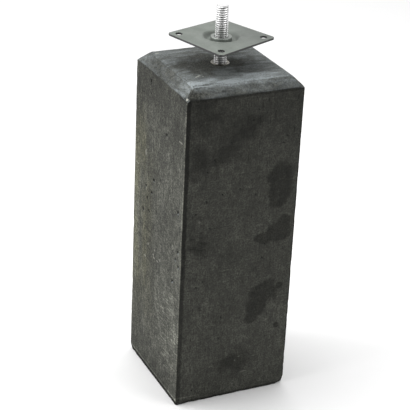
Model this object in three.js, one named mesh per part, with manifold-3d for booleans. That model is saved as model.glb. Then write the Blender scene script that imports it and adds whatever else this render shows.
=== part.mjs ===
// A concrete pier block with a height-adjustable post plate on a threaded rod
// Millimetres, +Z up, with the origin at the middle of the block's underside
import * as THREE from "three";
import { mergeVertices } from "three/addons/utils/BufferGeometryUtils.js";
import Module from "manifold-3d";

// The cast concrete block
const BLOCK_WIDTH = 180;
const BLOCK_HEIGHT = 500;
const TOP_CHAMFER = 15;
const CHAMFER_SOFTENING = 1.5;
const UPRIGHT_EDGE_RADIUS = 3;
const FOOT_BEVEL = 2;

// The steel socket cast into the middle of the block's top
const SOCKET_DIAMETER = 27;
const SOCKET_LENGTH = 70;
const SOCKET_PROUD = 1;
const SOCKET_MOUTH_BEVEL = 1.2;

// The threaded rod that stands in the socket
const ROD_DIAMETER = 18;
const ROD_LENGTH = 150;
const ROD_ABOVE_BLOCK = 84.5;
const ROD_END_BEVEL = 1.5;
const THREAD_PITCH = 3.2;
const THREAD_DEPTH = 1.6;
const THREAD_BELOW_BLOCK = 8;

// The square plate that carries the post, turned a little against the block as it is left on its thread
const PLATE_SIDE = 108;
const PLATE_THICKNESS = 3;
const PLATE_CORNER_RADIUS = 6;
const PLATE_TOP_ABOVE_BLOCK = 39.5;
const PLATE_TURN = THREE.MathUtils.degToRad(20);
const SCREW_HOLE_DIAMETER = 10;
const SCREW_HOLE_SPACING = 84;

// The dish pressed into the plate, with the threaded collar in it
const DISH_RIM_DIAMETER = 54;
const DISH_FLOOR_DIAMETER = 40;
const DISH_DEPTH = 6;
const COLLAR_DIAMETER = 30.5;
const COLLAR_BEVEL = 1;

// Clearance between neighbouring pieces, and round the rod
const GAP = 0.3;
const ROD_CLEARANCE = 0.5;

// How finely round shapes are faceted
const ROUND_STEPS = 32;
const THREAD_STEPS = 16;
const CORNER_STEPS = 5;

const QUARTER_TURN = Math.PI / 2;
const wasm = await Module();
wasm.setup();

// A profile of [radius, height] pairs turned about the Z axis
function turned(profile, steps = ROUND_STEPS, start = 0) {
  const points = profile.map(([radius, height]) => new THREE.Vector2(radius, height));
  return new THREE.LatheGeometry(points, steps, start).rotateX(QUARTER_TURN);
}

// A solid ring or tube: its profile closes on itself
function turnedRing(profile) {
  return turned([...profile, profile[0]]);
}

// A plain round bar from one height to another
function bar(radius, bottom, top) {
  return turned([[0, bottom], [radius, bottom], [radius, top], [0, top]]);
}

// A square form given by [half width, height] pairs, with sides along X and Y
function squareForm(profile) {
  const corners = profile.map(([half, height]) => [half * Math.SQRT2, height]);
  return turned(corners, 4, QUARTER_TURN / 2);
}

// A square outline with rounded corners, about the origin
function roundedSquare(side, radius) {
  const shape = new THREE.Shape();
  const reach = (side / 2 - radius) * Math.SQRT2;
  for (let corner = 0; corner < 4; corner += 1) {
    const start = corner * QUARTER_TURN;
    const middle = start + QUARTER_TURN / 2;
    const x = reach * Math.cos(middle);
    const y = reach * Math.sin(middle);
    shape.absarc(x, y, radius, start, start + QUARTER_TURN);
  }
  return shape;
}

// An outline made into a slab between two heights
function slab(shape, bottom, top) {
  const options = { depth: top - bottom, bevelEnabled: false, curveSegments: CORNER_STEPS };
  return new THREE.ExtrudeGeometry(shape, options).translate(0, 0, bottom);
}

// A closed geometry as a solid that can be joined and cut
function solidOf(geometry) {
  const bare = geometry.clone();
  bare.deleteAttribute("normal");
  bare.deleteAttribute("uv");
  const merged = mergeVertices(bare);
  const triangles = [];
  for (let first = 0; first < merged.index.count; first += 3) {
    const corners = [0, 1, 2].map((step) => merged.index.getX(first + step));
    if (new Set(corners).size === 3) {
      triangles.push(...corners);
    }
  }
  return new wasm.Manifold(new wasm.Mesh({
    numProp: 3,
    vertProperties: new Float32Array(merged.attributes.position.array),
    triVerts: new Uint32Array(triangles),
  }));
}

// A joined or cut solid as a geometry again
function geometryOf(solid) {
  const { vertProperties, triVerts } = solid.getMesh();
  const geometry = new THREE.BufferGeometry();
  geometry.setAttribute("position", new THREE.BufferAttribute(vertProperties, 3));
  geometry.setIndex(new THREE.BufferAttribute(triVerts, 1));
  return geometry;
}

function piece(name, geometry, color, roughness, metalness) {
  const material = new THREE.MeshStandardMaterial({ color, roughness, metalness });
  const mesh = new THREE.Mesh(geometry, material);
  mesh.name = name;
  return mesh;
}

// The block: a prism with rounded uprights, cut by a form that has the chamfer and the bevelled foot
function concreteBlock() {
  const half = BLOCK_WIDTH / 2;
  const past = FOOT_BEVEL + UPRIGHT_EDGE_RADIUS;
  const chamferFoot = BLOCK_HEIGHT - TOP_CHAMFER;
  const flatHalf = half - TOP_CHAMFER;
  const prism = slab(roundedSquare(BLOCK_WIDTH, UPRIGHT_EDGE_RADIUS), -1, BLOCK_HEIGHT + 1);
  const form = squareForm([
    [0, 0],
    [half - FOOT_BEVEL, 0],
    [half + past, FOOT_BEVEL + past],
    [half + past, chamferFoot - past],
    [flatHalf + CHAMFER_SOFTENING, BLOCK_HEIGHT - CHAMFER_SOFTENING],
    [flatHalf - CHAMFER_SOFTENING * Math.SQRT2, BLOCK_HEIGHT],
    [0, BLOCK_HEIGHT],
  ]);
  const pocketFloor = BLOCK_HEIGHT + SOCKET_PROUD - SOCKET_LENGTH - GAP;
  const pocket = bar(SOCKET_DIAMETER / 2 + GAP, pocketFloor, BLOCK_HEIGHT + 1);
  return geometryOf(solidOf(prism).intersect(solidOf(form)).subtract(solidOf(pocket)));
}

// The socket: a tube with a bevelled mouth
function threadedSocket() {
  const outer = SOCKET_DIAMETER / 2;
  const bore = ROD_DIAMETER / 2 + ROD_CLEARANCE;
  const top = BLOCK_HEIGHT + SOCKET_PROUD;
  const bottom = top - SOCKET_LENGTH;
  return turnedRing([
    [bore, bottom],
    [outer, bottom],
    [outer, top],
    [bore + SOCKET_MOUTH_BEVEL, top],
    [bore, top - SOCKET_MOUTH_BEVEL],
  ]);
}

// A screw thread: one profile carried round and up a helix, closed by a cone at each end
function threadBody(bottom, turns) {
  const crest = ROD_DIAMETER / 2;
  const root = crest - THREAD_DEPTH;
  const profile = [[root, 0], [root, 0.25], [crest, 0.5625], [crest, 0.6875]];
  const lastStep = turns * THREAD_STEPS;
  const points = [];
  for (let step = 0; step <= lastStep + THREAD_STEPS; step += 1) {
    const angle = (step / THREAD_STEPS) * 2 * Math.PI;
    for (const [radius, rise] of profile) {
      const height = bottom + THREAD_PITCH * (step / THREAD_STEPS + rise);
      points.push(new THREE.Vector3(radius * Math.cos(angle), radius * Math.sin(angle), height));
    }
  }
  const lowTip = points.push(new THREE.Vector3(0, 0, bottom - THREAD_PITCH)) - 1;
  const highTip = points.push(new THREE.Vector3(0, 0, bottom + THREAD_PITCH * (turns + 2))) - 1;
  // The point after the profile's last one is the next turn's first
  const at = (step, row) => {
    const wraps = row === profile.length;
    return wraps ? (step + THREAD_STEPS) * profile.length : step * profile.length + row;
  };
  const faces = [];
  for (let step = 0; step < lastStep; step += 1) {
    for (let row = 0; row < profile.length; row += 1) {
      faces.push(at(step, row), at(step + 1, row), at(step + 1, row + 1));
      faces.push(at(step, row), at(step + 1, row + 1), at(step, row + 1));
    }
  }
  for (let step = 0; step < THREAD_STEPS; step += 1) {
    faces.push(lowTip, at(step + 1, 0), at(step, 0));
    faces.push(highTip, at(lastStep + step, 0), at(lastStep + step + 1, 0));
  }
  for (let row = 0; row < profile.length; row += 1) {
    faces.push(lowTip, at(0, row), at(0, row + 1));
    faces.push(highTip, at(lastStep, row + 1), at(lastStep, row));
  }
  const geometry = new THREE.BufferGeometry().setFromPoints(points);
  return geometry.setIndex(faces);
}

// The rod: a thread cut to length with a bevelled end, on a plain shank inside the socket
function threadedRod() {
  const radius = ROD_DIAMETER / 2;
  const top = BLOCK_HEIGHT + ROD_ABOVE_BLOCK;
  const bottom = top - ROD_LENGTH;
  const threadFoot = BLOCK_HEIGHT - THREAD_BELOW_BLOCK;
  const turns = Math.ceil((top - threadFoot) / THREAD_PITCH) + 1;
  const thread = threadBody(threadFoot - THREAD_PITCH, turns);
  const length = turned([
    [0, threadFoot],
    [radius + 1, threadFoot],
    [radius + 1, top - ROD_END_BEVEL - 1],
    [radius - ROD_END_BEVEL, top],
    [0, top],
  ]);
  const shank = bar(radius - THREAD_DEPTH, bottom, threadFoot + THREAD_PITCH);
  return geometryOf(solidOf(thread).intersect(solidOf(length)).add(solidOf(shank)));
}

// The plate, with its top at height zero: a slab with screw holes and a pressed dish
function adjustingPlate() {
  const outline = roundedSquare(PLATE_SIDE, PLATE_CORNER_RADIUS);
  const step = SCREW_HOLE_SPACING / 2;
  for (const x of [-step, step]) {
    for (const y of [-step, step]) {
      const hole = new THREE.Path();
      hole.absarc(x, y, SCREW_HOLE_DIAMETER / 2, 0, 2 * Math.PI, true);
      outline.holes.push(hole);
    }
  }
  const rim = DISH_RIM_DIAMETER / 2;
  const floor = DISH_FLOOR_DIAMETER / 2;
  const wallSlope = Math.atan2(DISH_DEPTH, rim - floor);
  const spread = PLATE_THICKNESS * Math.tan(wallSlope / 2);
  const underside = -DISH_DEPTH - PLATE_THICKNESS;
  const bulge = turned([
    [0, underside],
    [floor + spread, underside],
    [rim + spread, -PLATE_THICKNESS],
    [rim + spread, -PLATE_THICKNESS / 2],
    [0, -PLATE_THICKNESS / 2],
  ]);
  const hollow = turned([[0, -DISH_DEPTH], [floor, -DISH_DEPTH], [rim, 0], [rim, 1], [0, 1]]);
  const rodHole = bar(ROD_DIAMETER / 2 + 2 * ROD_CLEARANCE, underside - 1, 1);
  const flat = solidOf(slab(outline, -PLATE_THICKNESS, 0));
  return geometryOf(flat.add(solidOf(bulge)).subtract(solidOf(hollow)).subtract(solidOf(rodHole)));
}

// The collar: a bevelled ring standing in the dish, level with the plate's top
function plateCollar() {
  const outer = COLLAR_DIAMETER / 2;
  const bore = ROD_DIAMETER / 2 + ROD_CLEARANCE;
  return turnedRing([
    [bore, -DISH_DEPTH + GAP],
    [outer, -DISH_DEPTH + GAP],
    [outer, -COLLAR_BEVEL],
    [outer - COLLAR_BEVEL, 0],
    [bore + COLLAR_BEVEL, 0],
    [bore, -COLLAR_BEVEL],
  ]);
}

const plateOnRod = new THREE.Group();
plateOnRod.position.z = BLOCK_HEIGHT + PLATE_TOP_ABOVE_BLOCK;
plateOnRod.rotation.z = PLATE_TURN;
plateOnRod.add(
  piece("adjusting_plate", adjustingPlate(), 0x959b95, 0.55, 0.8),
  piece("plate_collar", plateCollar(), 0xa5aaa4, 0.4, 0.9),
);

const pier = new THREE.Group();
pier.add(
  piece("concrete_block", concreteBlock(), 0x4b4d4f, 0.85, 0),
  piece("threaded_socket", threadedSocket(), 0xaca89f, 0.4, 0.9),
  piece("threaded_rod", threadedRod(), 0xc8cbc9, 0.25, 1),
  plateOnRod,
);

export default pier;
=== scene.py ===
# %% [markdown]
# # A concrete pier block, dressed in Blender
#
# The object is a cast concrete pier for a garden post. A square block carries a steel socket in its top,
# a threaded rod stands in the socket, and a pressed steel plate screws up and down the rod.
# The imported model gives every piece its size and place. This lesson makes the surfaces that a camera sees.

# %% Load the frame
import bpy
import bmesh
import math
import random
from mathutils import Matrix, Vector, kdtree, noise


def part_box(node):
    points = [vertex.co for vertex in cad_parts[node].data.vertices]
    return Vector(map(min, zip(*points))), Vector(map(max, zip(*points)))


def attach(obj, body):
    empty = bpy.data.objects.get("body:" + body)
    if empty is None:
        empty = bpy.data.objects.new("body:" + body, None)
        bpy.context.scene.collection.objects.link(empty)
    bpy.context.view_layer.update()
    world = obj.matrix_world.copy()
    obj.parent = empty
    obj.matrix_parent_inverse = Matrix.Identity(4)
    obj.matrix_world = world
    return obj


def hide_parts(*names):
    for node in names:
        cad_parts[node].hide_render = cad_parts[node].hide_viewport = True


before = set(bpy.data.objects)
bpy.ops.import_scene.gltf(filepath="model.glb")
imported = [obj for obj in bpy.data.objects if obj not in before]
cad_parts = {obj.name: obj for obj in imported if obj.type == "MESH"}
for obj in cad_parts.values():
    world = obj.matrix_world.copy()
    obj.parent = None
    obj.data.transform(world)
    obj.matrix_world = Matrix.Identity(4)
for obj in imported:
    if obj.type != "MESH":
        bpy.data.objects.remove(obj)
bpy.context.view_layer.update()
MM = 0.001
print("nodes in the frame:", sorted(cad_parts))

# %% [markdown]
# ## The camera
#
# The photograph looks down on a corner of the block with a long lens, leaning a little to one side.
# Fitting the block's straight edges gives the place, the angles and the lens. Building the turn from three
# directions keeps the lean readable, where three Euler angles would hide it.

# %% Set the camera
CAMERA_AZIMUTH = math.radians(-25.652)
CAMERA_ELEVATION = math.radians(25.386)
CAMERA_LEAN = math.radians(2.673)
CAMERA_PLACE = Vector((-0.8228, -1.6860, 1.1661))
CAMERA_LENS = 122.9
SENSOR_WIDTH = 36.0


def camera_turn(azimuth, elevation, lean):
    back = Vector((
        math.sin(azimuth) * math.cos(elevation),
        -math.cos(azimuth) * math.cos(elevation),
        math.sin(elevation),
    ))
    right = Vector((math.cos(azimuth), math.sin(azimuth), 0.0))
    up = back.cross(right)
    leaning_right = right * math.cos(lean) + up * math.sin(lean)
    leaning_up = up * math.cos(lean) - right * math.sin(lean)
    return Matrix((leaning_right, leaning_up, back)).transposed().to_4x4()


camera_data = bpy.data.cameras.new("photo_camera")
camera_data.sensor_fit = "HORIZONTAL"
camera_data.sensor_width = SENSOR_WIDTH
camera_data.lens = CAMERA_LENS
camera = bpy.data.objects.new("photo_camera", camera_data)
camera.matrix_world = (
    Matrix.Translation(CAMERA_PLACE) @ camera_turn(CAMERA_AZIMUTH, CAMERA_ELEVATION, CAMERA_LEAN)
)
bpy.context.scene.collection.objects.link(camera)
bpy.context.scene.camera = camera
print("camera stands", round(CAMERA_PLACE.length, 3), "m from the block's foot")

# %% [markdown]
# ## Nodes in few words
#
# A material in code is a row of nodes and links. One helper makes a node, sets its options and fills its
# sockets: a socket given as a value becomes a link. The others wrap the nodes that are used most.

# %% Helpers for shader nodes
COLOUR_A = 6
COLOUR_B = 7
COLOUR_RESULT = 2


def add_node(tree, kind, sockets, **options):
    made = tree.nodes.new(kind)
    for name, value in options.items():
        setattr(made, name, value)
    for name, value in sockets.items():
        if isinstance(value, bpy.types.NodeSocket):
            tree.links.new(value, made.inputs[name])
        else:
            made.inputs[name].default_value = value
    return made


def add_math(tree, operation, first, second=0.0):
    return add_node(tree, "ShaderNodeMath", {0: first, 1: second}, operation=operation).outputs[0]


def add_vector_math(tree, operation, first, second=(0.0, 0.0, 0.0)):
    return add_node(tree, "ShaderNodeVectorMath", {0: first, 1: second}, operation=operation).outputs


def add_range(tree, value, low, high, to_low=0.0, to_high=1.0):
    sockets = {"Value": value, "From Min": low, "From Max": high, "To Min": to_low, "To Max": to_high}
    return add_node(tree, "ShaderNodeMapRange", sockets, interpolation_type="SMOOTHSTEP").outputs["Result"]


def add_noise(tree, place, scale, detail, roughness):
    sockets = {"Vector": place, "Scale": scale, "Detail": detail, "Roughness": roughness}
    return add_node(tree, "ShaderNodeTexNoise", sockets).outputs[0]


def grey(level, warm=0.0):
    return (level * (1.0 + warm), level, level * (1.0 - warm), 1.0)


print("node helpers are ready")

# %% [markdown]
# ## Effects that several surfaces share
#
# Cast concrete, galvanised sheet and plated steel all show clouds or streaks, only at other scales, and the
# concrete has soft spots too. So each effect is a node group with named inputs, built once and placed
# wherever it is needed. Streaks are noise on squeezed coordinates. A spot is a distance from its middle,
# frayed by noise.

# %% Shared effect groups
FLOAT = "NodeSocketFloat"
VECTOR = "NodeSocketVector"
NOISE_MIDDLE = 0.5
STREAK_ROUGHNESS = 0.6
FRAY_DETAIL = 3.0
FRAY_ROUGHNESS = 0.55


def new_group(name, inputs, outputs):
    group = bpy.data.node_groups.new(name, "ShaderNodeTree")
    for label, kind in inputs:
        group.interface.new_socket(label, in_out="INPUT", socket_type=kind)
    for label in outputs:
        group.interface.new_socket(label, in_out="OUTPUT", socket_type=FLOAT)
    return group, group.nodes.new("NodeGroupInput").outputs, group.nodes.new("NodeGroupOutput").inputs


def make_streak_group():
    inputs = [("Place", VECTOR), ("Squeeze", VECTOR), ("Detail", FLOAT), ("Low", FLOAT), ("High", FLOAT)]
    group, given, result = new_group("streaks", inputs, ["Mask", "Raw"])
    squeezed = add_vector_math(group, "MULTIPLY", given["Place"], given["Squeeze"])[0]
    raw = add_noise(group, squeezed, 1.0, given["Detail"], STREAK_ROUGHNESS)
    group.links.new(add_range(group, raw, given["Low"], given["High"]), result["Mask"])
    group.links.new(raw, result["Raw"])
    return group


def make_spot_group():
    inputs = [
        ("Place", VECTOR), ("Middle", VECTOR), ("Reach", VECTOR), ("Fray", FLOAT), ("Fray Scale", FLOAT),
        ("Softness", FLOAT),
    ]
    group, given, result = new_group("spot", inputs, ["Mask"])
    away = add_vector_math(group, "SUBTRACT", given["Place"], given["Middle"])[0]
    scaled = add_vector_math(group, "DIVIDE", away, given["Reach"])[0]
    distance = add_vector_math(group, "LENGTH", scaled)["Value"]
    frays = add_noise(group, given["Place"], given["Fray Scale"], FRAY_DETAIL, FRAY_ROUGHNESS)
    fray = add_math(group, "MULTIPLY", add_math(group, "SUBTRACT", frays, NOISE_MIDDLE), given["Fray"])
    inner = add_math(group, "SUBTRACT", 1.0, given["Softness"])
    edge = add_math(group, "ADD", distance, fray)
    group.links.new(add_range(group, edge, inner, 1.0, 1.0, 0.0), result["Mask"])
    return group


STREAKS = make_streak_group()
SPOT = make_spot_group()
print("effect groups:", STREAKS.name, SPOT.name)

# %% [markdown]
# ## A finish, built up in layers
#
# Every material here is made the same way: a base colour, a tone that layers darken or lighten, and coats
# of another colour over it. A small class holds the node tree and gives each of those steps a short name,
# so that a layer is one line that reads like a sentence. It knows where a point lies, in millimetres, and
# which way its surface faces.

# %% The finish class
NOISE_LOW = 0.3
NOISE_HIGH = 0.7


class Finish:
    """A material in the making, with short words for the masks that its layers are made of."""

    def __init__(self, name):
        self.material = bpy.data.materials.new(name)
        self.material.use_nodes = True
        self.tree = self.material.node_tree
        self.shader = self.tree.nodes["Principled BSDF"]
        known = self.tree.nodes.new("ShaderNodeTexCoord").outputs
        self.place = known["Object"]
        in_mm = add_vector_math(self.tree, "DIVIDE", self.place, (MM, MM, MM))[0]
        self.x, self.y, self.z = add_node(self.tree, "ShaderNodeSeparateXYZ", {0: in_mm}).outputs
        self.facing = add_node(self.tree, "ShaderNodeSeparateXYZ", {0: known["Normal"]}).outputs
        self.tone = 1.0
        self.colour = None

    def fold(self, operation, values):
        result = values[0]
        for value in values[1:]:
            result = add_math(self.tree, operation, result, value)
        return result

    def times(self, *values):
        return self.fold("MULTIPLY", values)

    def plus(self, *values):
        return self.fold("ADD", values)

    def largest(self, *values):
        return self.fold("MAXIMUM", values)

    def without(self, mask, amount=1.0):
        """What a mask leaves over when it takes a share away."""
        return add_math(self.tree, "SUBTRACT", 1.0, self.times(mask, amount))

    def rise(self, value, low, high, start=0.0, end=1.0):
        """A smooth step from start to end as the value goes from low to high."""
        return add_range(self.tree, value, low, high, start, end)

    def fall(self, value, low, high):
        return add_range(self.tree, value, low, high, 1.0, 0.0)

    def band(self, value, low, high, soft):
        """A stripe where the value lies between low and high."""
        starts = self.rise(value, low - soft, low + soft)
        ends = self.fall(value, high - soft, high + soft)
        return self.times(starts, ends)

    def streaks(self, squeeze, low=0.4, high=0.6, detail=4.0, turn=0.0):
        """Noise on squeezed coordinates that may be turned about the X axis."""
        turned = add_node(self.tree, "ShaderNodeMapping", {"Vector": self.place, "Rotation": (turn, 0, 0)})
        sockets = {"Place": turned.outputs[0], "Squeeze": squeeze, "Detail": detail, "Low": low, "High": high}
        return add_node(self.tree, "ShaderNodeGroup", sockets, node_tree=STREAKS).outputs

    def spots(self, listed, fray, softness, fray_scale=48.0):
        """Frayed spots, each given by its middle and its reach in millimetres."""
        masks = []
        for middle, reach in listed:
            sockets = {
                "Place": self.place, "Middle": Vector(middle) * MM, "Reach": Vector(reach) * MM,
                "Fray": fray, "Fray Scale": fray_scale, "Softness": softness,
            }
            masks.append(add_node(self.tree, "ShaderNodeGroup", sockets, node_tree=SPOT).outputs["Mask"])
        return self.largest(*masks)

    def darken(self, amount, *masks):
        """Take a share off the tone where all the masks are on."""
        self.tone = self.times(self.tone, self.without(self.times(*masks), amount))

    def lighten(self, amount, *masks):
        self.darken(-amount, *masks)

    def calm(self, amount, mask):
        """Bring the tone closer to 1 where the mask is on."""
        unrest = self.times(self.plus(self.tone, -1.0), self.without(mask, amount))
        self.tone = self.plus(unrest, 1.0)

    def coat(self, share, paint):
        """Lay another colour over the one that is there."""
        sockets = {0: share, COLOUR_A: self.colour, COLOUR_B: paint}
        mixed = add_node(self.tree, "ShaderNodeMix", sockets, data_type="RGBA")
        self.colour = mixed.outputs[COLOUR_RESULT]

    def apply_tone(self):
        sockets = {0: self.colour, "Scale": self.tone}
        self.colour = add_node(self.tree, "ShaderNodeVectorMath", sockets, operation="SCALE").outputs[0]

    def roughen(self, value, smooth, rough):
        dullness = self.rise(value, NOISE_LOW, NOISE_HIGH, smooth, rough)
        self.tree.links.new(dullness, self.shader.inputs["Roughness"])

    def bump(self, height, strength, distance):
        sockets = {"Height": height, "Strength": strength, "Distance": distance}
        made = add_node(self.tree, "ShaderNodeBump", sockets)
        self.tree.links.new(made.outputs["Normal"], self.shader.inputs["Normal"])

    def done(self):
        self.tree.links.new(self.colour, self.shader.inputs["Base Color"])
        print(self.material.name, "has", len(self.tree.nodes), "nodes")
        return self.material


print("finishes can be made")

# %% [markdown]
# ## The studio
#
# The photograph is lit softly, brightest from the left, on plain white. A wide pale floor fills the whole
# view. One large soft light on the left makes the left face lighter than the front, one overhead lights the
# floor and the top, and a panel on the right gives the rod its second bright strip. The world is a white room
# behind the block and a dark one behind the camera, which is what bright steel mirrors.

# %% Floor and lights
FLOOR_HALF = 15.0
FLOOR_PALE = grey(0.90)
FLOOR_SHADE = grey(0.88)
FLOOR_CLOUDS = (2.0, 2.0, 2.0)
FLOOR_ROUGHNESS = 0.9
FLOOR_SQUARES = 8
# Each soft light has a place, a side in metres and a power in watts
SOFT_LIGHTS = {
    "left_softbox": ((-2.3, 0.6, 1.3), 2.3, 66.0),
    "right_panel": ((1.32, -1.62, 0.80), 1.3, 24.0),
    "overhead_softbox": ((-0.3, 0.9, 3.6), 4.0, 100.0),
}
AIM = Vector((0.0, 0.0, 0.35))


def make_floor():
    cover = Finish("pale_floor")
    cover.colour = FLOOR_PALE
    cover.coat(cover.streaks(FLOOR_CLOUDS)["Mask"], FLOOR_SHADE)
    cover.shader.inputs["Roughness"].default_value = FLOOR_ROUGHNESS
    sheet = bmesh.new()
    bmesh.ops.create_grid(sheet, x_segments=FLOOR_SQUARES, y_segments=FLOOR_SQUARES, size=FLOOR_HALF)
    mesh = bpy.data.meshes.new("studio_floor")
    sheet.to_mesh(mesh)
    sheet.free()
    mesh.materials.append(cover.done())
    floor = bpy.data.objects.new("studio_floor", mesh)
    bpy.context.scene.collection.objects.link(floor)


def make_soft_light(name, place, size, watts):
    data = bpy.data.lights.new(name, "AREA")
    data.shape = "SQUARE"
    data.size = size
    data.energy = watts
    light = bpy.data.objects.new(name, data)
    light.location = place
    light.rotation_euler = (AIM - Vector(place)).to_track_quat("-Z", "Y").to_euler()
    bpy.context.scene.collection.objects.link(light)


make_floor()
for light_name, (light_place, light_size, light_watts) in SOFT_LIGHTS.items():
    make_soft_light(light_name, light_place, light_size, light_watts)
print("soft lights:", list(SOFT_LIGHTS))

# %% The room around
ROOM_BEHIND_CAMERA = 0.04
ROOM_BEHIND_BLOCK = 1.0
ROOM_TURNS_PALE = (-0.6, 0.7)


def make_room():
    world = bpy.data.worlds.new("studio_world")
    world.use_nodes = True
    tree = world.node_tree
    away = Vector((-CAMERA_PLACE.x, -CAMERA_PLACE.y, 0.0)).normalized()
    direction = tree.nodes.new("ShaderNodeTexCoord").outputs["Generated"]
    facing = add_vector_math(tree, "DOT_PRODUCT", direction, away)["Value"]
    level = add_range(tree, facing, *ROOM_TURNS_PALE, ROOM_BEHIND_CAMERA, ROOM_BEHIND_BLOCK)
    tree.links.new(level, tree.nodes["Background"].inputs["Strength"])
    tree.nodes["Background"].inputs["Color"].default_value = grey(1.0)
    bpy.context.scene.world = world


make_room()
bpy.context.scene.view_settings.view_transform = "Standard"
print("the room is pale behind the block and dark behind the camera")

# %% [markdown]
# ## Finishing a piece
#
# Every piece ends the same way: its bmesh becomes an object at the origin, takes a material, rides on a
# body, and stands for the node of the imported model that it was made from. Edges that bend more than a given
# angle are marked sharp, so that flat steel stays flat beside its rounded rim.

# %% Helpers for pieces
WELD = 0.001 * MM
NEVER_SHARP = math.pi


def finish_piece(shape, name, material, body, node, sharp_from=NEVER_SHARP):
    bmesh.ops.remove_doubles(shape, verts=shape.verts, dist=WELD)
    mesh = bpy.data.meshes.new(name)
    shape.to_mesh(mesh)
    shape.free()
    mesh.shade_smooth()
    mesh.set_sharp_from_angle(angle=sharp_from)
    mesh.materials.append(material)
    made = bpy.data.objects.new(name, mesh)
    bpy.context.scene.collection.objects.link(made)
    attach(made, body)
    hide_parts(node)
    triangles = sum(len(face.vertices) - 2 for face in mesh.polygons)
    print(name, "has", triangles, "triangles")


def spin_profile(shape, profile, steps, closed):
    """Turn a profile of (radius, height) pairs about the Z axis."""
    points = [shape.verts.new((radius, 0.0, height)) for radius, height in profile]
    pairs = list(zip(points, points[1:]))
    if closed:
        pairs.append((points[-1], points[0]))
    edges = [shape.edges.new(pair) for pair in pairs]
    bmesh.ops.spin(
        shape, geom=points + edges, cent=(0, 0, 0), axis=(0, 0, 1), angle=2 * math.pi, steps=steps,
        use_merge=True,
    )
    bmesh.ops.remove_doubles(shape, verts=shape.verts, dist=WELD)
    bmesh.ops.recalc_face_normals(shape, faces=shape.faces)


def sharp_edges(shape, least_angle):
    return [
        edge for edge in shape.edges
        if len(edge.link_faces) == 2 and edge.calc_face_angle(0.0) > least_angle
    ]


def round_edges(shape, edges, width, segments):
    bmesh.ops.bevel(
        shape, geom=edges, offset=width, offset_type="OFFSET", segments=segments, profile=0.5,
        affect="EDGES", clamp_overlap=True, material=-1,
    )


print("pieces can be finished")

# %% [markdown]
# ## The cast block: its form
#
# The block is poured in a steel mould, so its sides are flat, its edges slightly soft and its top has a wide
# chamfer. A cube gets the chamfer first, then the narrow rounding of every edge. Long edges are then cut into
# short steps, because the relief that follows needs points to move.

# %% Shape the block
BLOCK_LOW, BLOCK_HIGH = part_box("concrete_block")
BLOCK_HALF = BLOCK_HIGH.x
BLOCK_TOP = BLOCK_HIGH.z
TOP_CHAMFER = 15 * MM
SHOULDER = BLOCK_TOP - TOP_CHAMFER
EDGE_SOFTNESS = 1.6 * MM
EDGE_SEGMENTS = 3
LEAST_BEND = 0.2
GRID_STEP = 2.5 * MM
CHAMFER_CUTS = 7
LONG_EDGE = 4 * TOP_CHAMFER
LEAST_HIP = 0.6 * TOP_CHAMFER
NEARLY_PARALLEL = 0.999


def cut_long_edges(shape, axis, step):
    """Cut the long edges that run along one axis into even steps."""
    direction = Vector((axis == 0, axis == 1, axis == 2))
    chosen = []
    for edge in shape.edges:
        run = edge.verts[1].co - edge.verts[0].co
        if run.length > LONG_EDGE and abs(run.normalized().dot(direction)) > NEARLY_PARALLEL:
            chosen.append(edge)
    cuts = round(max(edge.calc_length() for edge in chosen) / step) - 1
    bmesh.ops.subdivide_edges(shape, edges=chosen, cuts=cuts)


def cut_hips(shape, cuts):
    """Cut the sloping edges of the chamfers."""
    chosen = []
    for edge in shape.edges:
        run = edge.verts[1].co - edge.verts[0].co
        if run.length > LEAST_HIP and min(abs(run.x), abs(run.y), abs(run.z)) > MM:
            chosen.append(edge)
    bmesh.ops.subdivide_edges(shape, edges=chosen, cuts=cuts)


def block_form():
    shape = bmesh.new()
    bmesh.ops.create_cube(shape, size=1.0)
    bmesh.ops.scale(shape, vec=BLOCK_HIGH - BLOCK_LOW, verts=shape.verts)
    bmesh.ops.translate(shape, vec=(BLOCK_HIGH + BLOCK_LOW) / 2, verts=shape.verts)
    top_edges = [edge for edge in shape.edges if all(vert.co.z > SHOULDER for vert in edge.verts)]
    round_edges(shape, top_edges, TOP_CHAMFER, 1)
    round_edges(shape, sharp_edges(shape, LEAST_BEND), EDGE_SOFTNESS, EDGE_SEGMENTS)
    cut_hips(shape, CHAMFER_CUTS)
    for axis in range(3):
        cut_long_edges(shape, axis, GRID_STEP)
    return shape


block = block_form()
print("block form has", len(block.faces), "faces")

# %% [markdown]
# ## The cast block: soft edges round the top
#
# The top was smoothed by hand while the concrete was wet, so the edges of the chamfer are rounder than the
# mould made them, and not evenly so. A point near such an edge is drawn in by a parabola of its distance,
# which makes a round edge wherever the depth and the reach fit the angle between the two faces.

# %% How the edges of the chamfer are drawn in
CROWN_REACH = 5 * MM
CROWN_DEPTH = 1.0 * MM
SHOULDER_REACH = 4 * MM
SHOULDER_DEPTH = 0.3 * MM
HIP_REACH = 4 * MM
HIP_DEPTH = 1.0 * MM
HAND_SCALE = 22.0
HAND_SHARE = 0.5


def closeness(distance, reach):
    return max(0.0, 1.0 - distance / reach)


def drawn_in(place):
    wide = max(abs(place.x), abs(place.y))
    narrow = min(abs(place.x), abs(place.y))
    across = BLOCK_HALF - wide
    crown = closeness(math.hypot(across - TOP_CHAMFER, BLOCK_TOP - place.z), CROWN_REACH)
    shoulder = closeness(math.hypot(across, place.z - SHOULDER), SHOULDER_REACH)
    hip = 0.0
    if place.z > SHOULDER and across < TOP_CHAMFER:
        hip = closeness((wide - narrow) / math.sqrt(2.0), HIP_REACH)
    depth = CROWN_DEPTH * crown ** 2 + SHOULDER_DEPTH * shoulder ** 2 + HIP_DEPTH * hip ** 2
    return depth * (1.0 + HAND_SHARE * noise.noise(place * HAND_SCALE))


crown_corner = Vector((TOP_CHAMFER - BLOCK_HALF, 0.0, BLOCK_TOP))
print("the crown is drawn in by", round(drawn_in(crown_corner) / MM, 2), "mm")

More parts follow.
